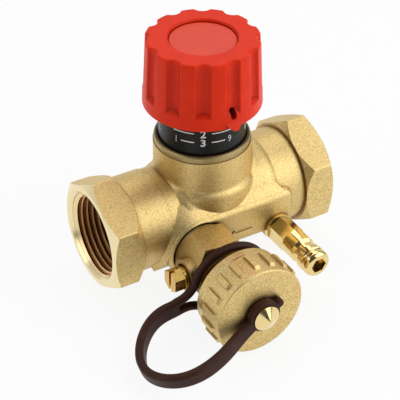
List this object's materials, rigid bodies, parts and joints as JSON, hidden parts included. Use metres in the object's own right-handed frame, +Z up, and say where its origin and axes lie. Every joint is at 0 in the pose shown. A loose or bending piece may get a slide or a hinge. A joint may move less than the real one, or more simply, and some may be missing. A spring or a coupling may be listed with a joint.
{
  "type": "balancing valve",
  "caption": "Straight brass balancing valve with internal pipe threads, a red setting knob over a numbered black scale, a drain cock with a strapped screw cap, and a test nipple.",
  "frame": {"origin": "on the pipe axis at the outer end of the outlet thread, just inside the countersunk mouth", "axes": "+X along the pipe from outlet to inlet, +Z up along the spindle, -Y the front with the drain and the test nipple"},
  "size_m": [0.0847, 0.076, 0.0772],
  "materials": {
    "forged_brass": "sandblasted forging",
    "machined_brass": "turned",
    "polished_brass": "polished",
    "red_plastic": "satin moulding",
    "black_plastic": "satin with white marks",
    "brown_rubber": "moulded",
    "black_rubber": "moulded",
    "white_plastic": "turned",
    "spring_steel": "drawn",
    "plated_ball": "plated"
  },
  "bodies": {
    "body": {"valve_body": "forged_brass", "headpiece": "machined_brass", "headpiece_o_ring": "black_rubber", "scale_sleeve": "black_plastic", "spindle_o_rings": "black_rubber", "drain_body": "forged_brass", "drain_gasket": "black_rubber", "ball_seats": "white_plastic", "drain_retainer": "machined_brass", "drain_spindle_o_ring": "black_rubber", "strap": "brown_rubber", "nipple_body": "polished_brass", "nipple_o_ring": "black_rubber", "nipple_spring": "spring_steel", "nipple_seat": "machined_brass"},
    "cone": {"cone": "machined_brass", "cone_seal": "black_rubber"},
    "knob": {"spindle": "machined_brass", "preset_spindle": "machined_brass", "preset_o_ring": "black_rubber", "cone_clip": "spring_steel", "knob": "red_plastic", "knob_clip": "spring_steel", "knob_cover": "red_plastic"},
    "drain_cock": {"drain_ball": "plated_ball", "drain_spindle": "machined_brass"},
    "cap_carrier": {"cap_washer": "black_rubber"},
    "cap": {"cap": "forged_brass", "cap_pin": "polished_brass"},
    "poppet": {"nipple_poppet": "machined_brass"}
  },
  "joints": [
    {"name": "stem_lift", "type": "slide", "parent": "body", "child": "cone", "axis": [0, 0, 1], "range_m": [-0.00387, 0.0057]},
    {"name": "knob_turn", "type": "hinge", "parent": "cone", "child": "knob", "pos_m": [0.0376, 0, 0.0361], "axis": [0, 0, 1], "range_deg": [-466, 685]},
    {"name": "drain_turn", "type": "hinge", "parent": "body", "child": "drain_cock", "pos_m": [0.0279, -0.0249, -0.005], "axis": [-1, 0, 0], "range_deg": [0, 90]},
    {"name": "cap_travel", "type": "slide", "parent": "body", "child": "cap_carrier", "axis": [0, -1, 0], "range_m": [0, 0.00726], "deforming": ["strap"]},
    {"name": "cap_turn", "type": "hinge", "parent": "cap_carrier", "child": "cap", "pos_m": [0.0279, -0.0495, -0.005], "axis": [0, -1, 0], "range_deg": [0, 1441]},
    {"name": "poppet_press", "type": "slide", "parent": "body", "child": "poppet", "axis": [0, 1, 0], "range_m": [0, 0.0012], "stiffness_N_per_m": 800, "springref_m": -0.0005, "deforming": ["nipple_spring"]}
  ],
  "couplings": [
    {"joint": "knob_turn", "follows": "stem_lift", "rad_per_m": 2094.4},
    {"joint": "cap_turn", "follows": "cap_travel", "rad_per_m": 3463.7}
  ]
}
